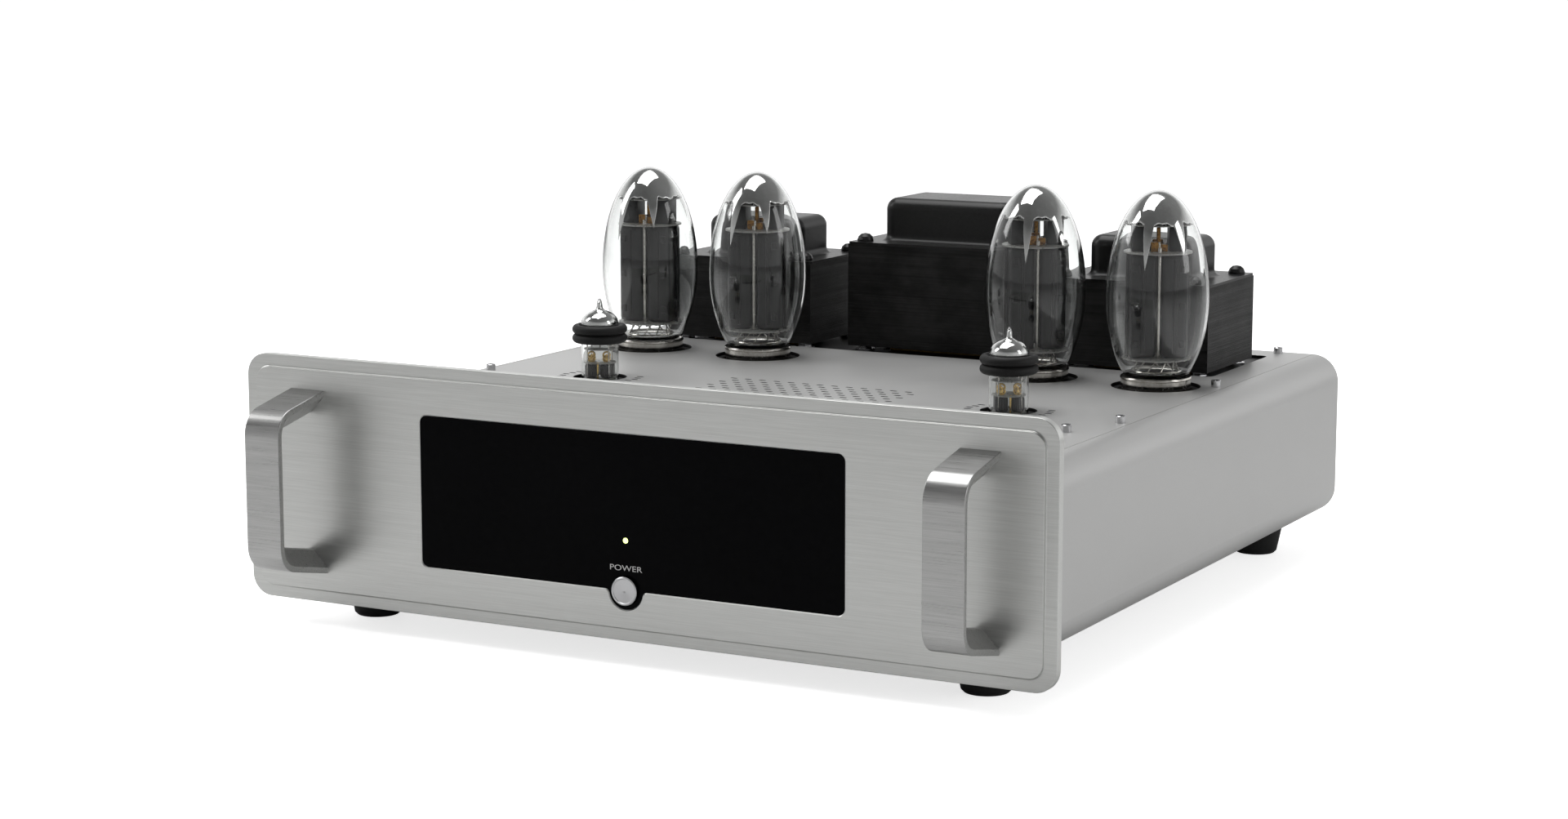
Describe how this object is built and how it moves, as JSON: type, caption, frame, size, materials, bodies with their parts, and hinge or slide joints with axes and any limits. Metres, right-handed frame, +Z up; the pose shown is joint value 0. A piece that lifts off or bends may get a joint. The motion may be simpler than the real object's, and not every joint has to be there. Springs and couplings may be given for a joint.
{
  "type": "tube amplifier",
  "caption": "Stereo tube power amplifier: brushed faceplate with handles and a dark window, steel chassis, lift-out tubes, transformers in bell covers, rear sockets.",
  "frame": {"origin": "middle of the footprint on the surface that the feet stand on", "axes": "+X right seen from the front, +Y to the rear, +Z up"},
  "size_m": [0.4826, 0.5394, 0.2298],
  "materials": {
    "black_bolts": "black oxide",
    "black_enamel": "black enamel, semi gloss",
    "black_gloss": "polished",
    "black_plastic": "moulded",
    "bright_screws": "plated",
    "brushed_aluminium": "horizontal brush, clear anodised",
    "button_metal": "satin chrome",
    "capacitor_sleeve": "shrink sleeve",
    "chassis_steel": "black satin coat",
    "circuit_board": "glass epoxy with solder mask",
    "damping_rubber": "matt",
    "electrodes": "carbonised nickel with mica discs",
    "foot_rubber": "matt",
    "fuse_glass": "clear",
    "handle_aluminium": "fine cross brush, clear anodised",
    "jack_metal": "gold plated",
    "knob_metal": "gold plated, knurled",
    "laminations": "stacked silicon steel, black varnish",
    "lamp_lens": "translucent",
    "post_brass": "gold plated",
    "satin_case": "satin, fine bead texture",
    "socket_ceramic": "glazed",
    "tube_base": "moulded, polished",
    "tube_glass": "clear blown glass",
    "winding_tape": "varnished paper and tape"
  },
  "bodies": {
    "chassis": {"bottom_cover": "satin_case", "case_screws": "bright_screws", "chassis_plate": "chassis_steel", "faceplate": "brushed_aluminium", "feet": "foot_rubber", "filter_capacitors": "capacitor_sleeve", "front_subpanel": "chassis_steel", "fuse_holder": "black_plastic", "handle_left": "handle_aluminium", "handle_right": "handle_aluminium", "handle_screws": "bright_screws", "input_jacks": "jack_metal", "main_board": "circuit_board", "mains_inlet": "black_plastic", "noval_sockets": "socket_ceramic", "octal_sockets": "socket_ceramic", "output_left_transformer_core": "laminations", "output_left_transformer_cover": "black_enamel", "output_right_transformer_core": "laminations", "output_right_transformer_cover": "black_enamel", "post_bushes": "black_plastic", "power_lamp": "lamp_lens", "power_switch": "black_plastic", "power_transformer_core": "laminations", "power_transformer_cover": "black_enamel", "rear_panel": "satin_case", "side_panel_left": "satin_case", "side_panel_right": "satin_case", "speaker_posts": "post_brass", "supply_board": "circuit_board", "top_cover": "satin_case", "transformer_bolts": "black_bolts", "transformer_nuts": "bright_screws", "transformer_windings": "winding_tape", "window_panel": "black_gloss"},
    "power_button": {"power_button": "button_metal"},
    "power_tube_1": {"power_tube_1_glass": "tube_glass", "power_tube_1_base": "tube_base", "power_tube_1_electrodes": "electrodes"},
    "speaker_knob_1": {"speaker_knob_1": "knob_metal"},
    "power_tube_2": {"power_tube_2_glass": "tube_glass", "power_tube_2_base": "tube_base", "power_tube_2_electrodes": "electrodes"},
    "speaker_knob_2": {"speaker_knob_2": "knob_metal"},
    "power_tube_3": {"power_tube_3_glass": "tube_glass", "power_tube_3_base": "tube_base", "power_tube_3_electrodes": "electrodes"},
    "speaker_knob_3": {"speaker_knob_3": "knob_metal"},
    "power_tube_4": {"power_tube_4_glass": "tube_glass", "power_tube_4_base": "tube_base", "power_tube_4_electrodes": "electrodes"},
    "speaker_knob_4": {"speaker_knob_4": "knob_metal"},
    "driver_tube_left": {"driver_tube_left_glass": "tube_glass", "driver_tube_left_electrodes": "electrodes", "driver_tube_left_damping_rings": "damping_rubber"},
    "driver_tube_right": {"driver_tube_right_glass": "tube_glass", "driver_tube_right_electrodes": "electrodes", "driver_tube_right_damping_rings": "damping_rubber"},
    "fuse_cap": {"fuse_cap": "black_plastic", "fuse_link": "fuse_glass"}
  },
  "joints": [
    {"name": "power_button_press", "type": "slide", "parent": "chassis", "child": "power_button", "axis": [0, 1, 0], "range_m": [0, 0.0025], "stiffness_N_per_m": 400},
    {"name": "power_tube_1_lift", "type": "slide", "parent": "chassis", "child": "power_tube_1", "axis": [0, 0, 1], "range_m": [0, 0.06]},
    {"name": "power_tube_2_lift", "type": "slide", "parent": "chassis", "child": "power_tube_2", "axis": [0, 0, 1], "range_m": [0, 0.06]},
    {"name": "power_tube_3_lift", "type": "slide", "parent": "chassis", "child": "power_tube_3", "axis": [0, 0, 1], "range_m": [0, 0.06]},
    {"name": "power_tube_4_lift", "type": "slide", "parent": "chassis", "child": "power_tube_4", "axis": [0, 0, 1], "range_m": [0, 0.06]},
    {"name": "driver_tube_left_lift", "type": "slide", "parent": "chassis", "child": "driver_tube_left", "axis": [0, 0, 1], "range_m": [0, 0.03]},
    {"name": "driver_tube_right_lift", "type": "slide", "parent": "chassis", "child": "driver_tube_right", "axis": [0, 0, 1], "range_m": [0, 0.03]},
    {"name": "speaker_knob_1_slide", "type": "slide", "parent": "chassis", "child": "speaker_knob_1", "axis": [0, 1, 0], "range_m": [0, 0.005]},
    {"name": "speaker_knob_2_slide", "type": "slide", "parent": "chassis", "child": "speaker_knob_2", "axis": [0, 1, 0], "range_m": [0, 0.005]},
    {"name": "speaker_knob_3_slide", "type": "slide", "parent": "chassis", "child": "speaker_knob_3", "axis": [0, 1, 0], "range_m": [0, 0.005]},
    {"name": "speaker_knob_4_slide", "type": "slide", "parent": "chassis", "child": "speaker_knob_4", "axis": [0, 1, 0], "range_m": [0, 0.005]},
    {"name": "fuse_cap_slide", "type": "slide", "parent": "chassis", "child": "fuse_cap", "axis": [0, 1, 0], "range_m": [0, 0.028]}
  ]
}
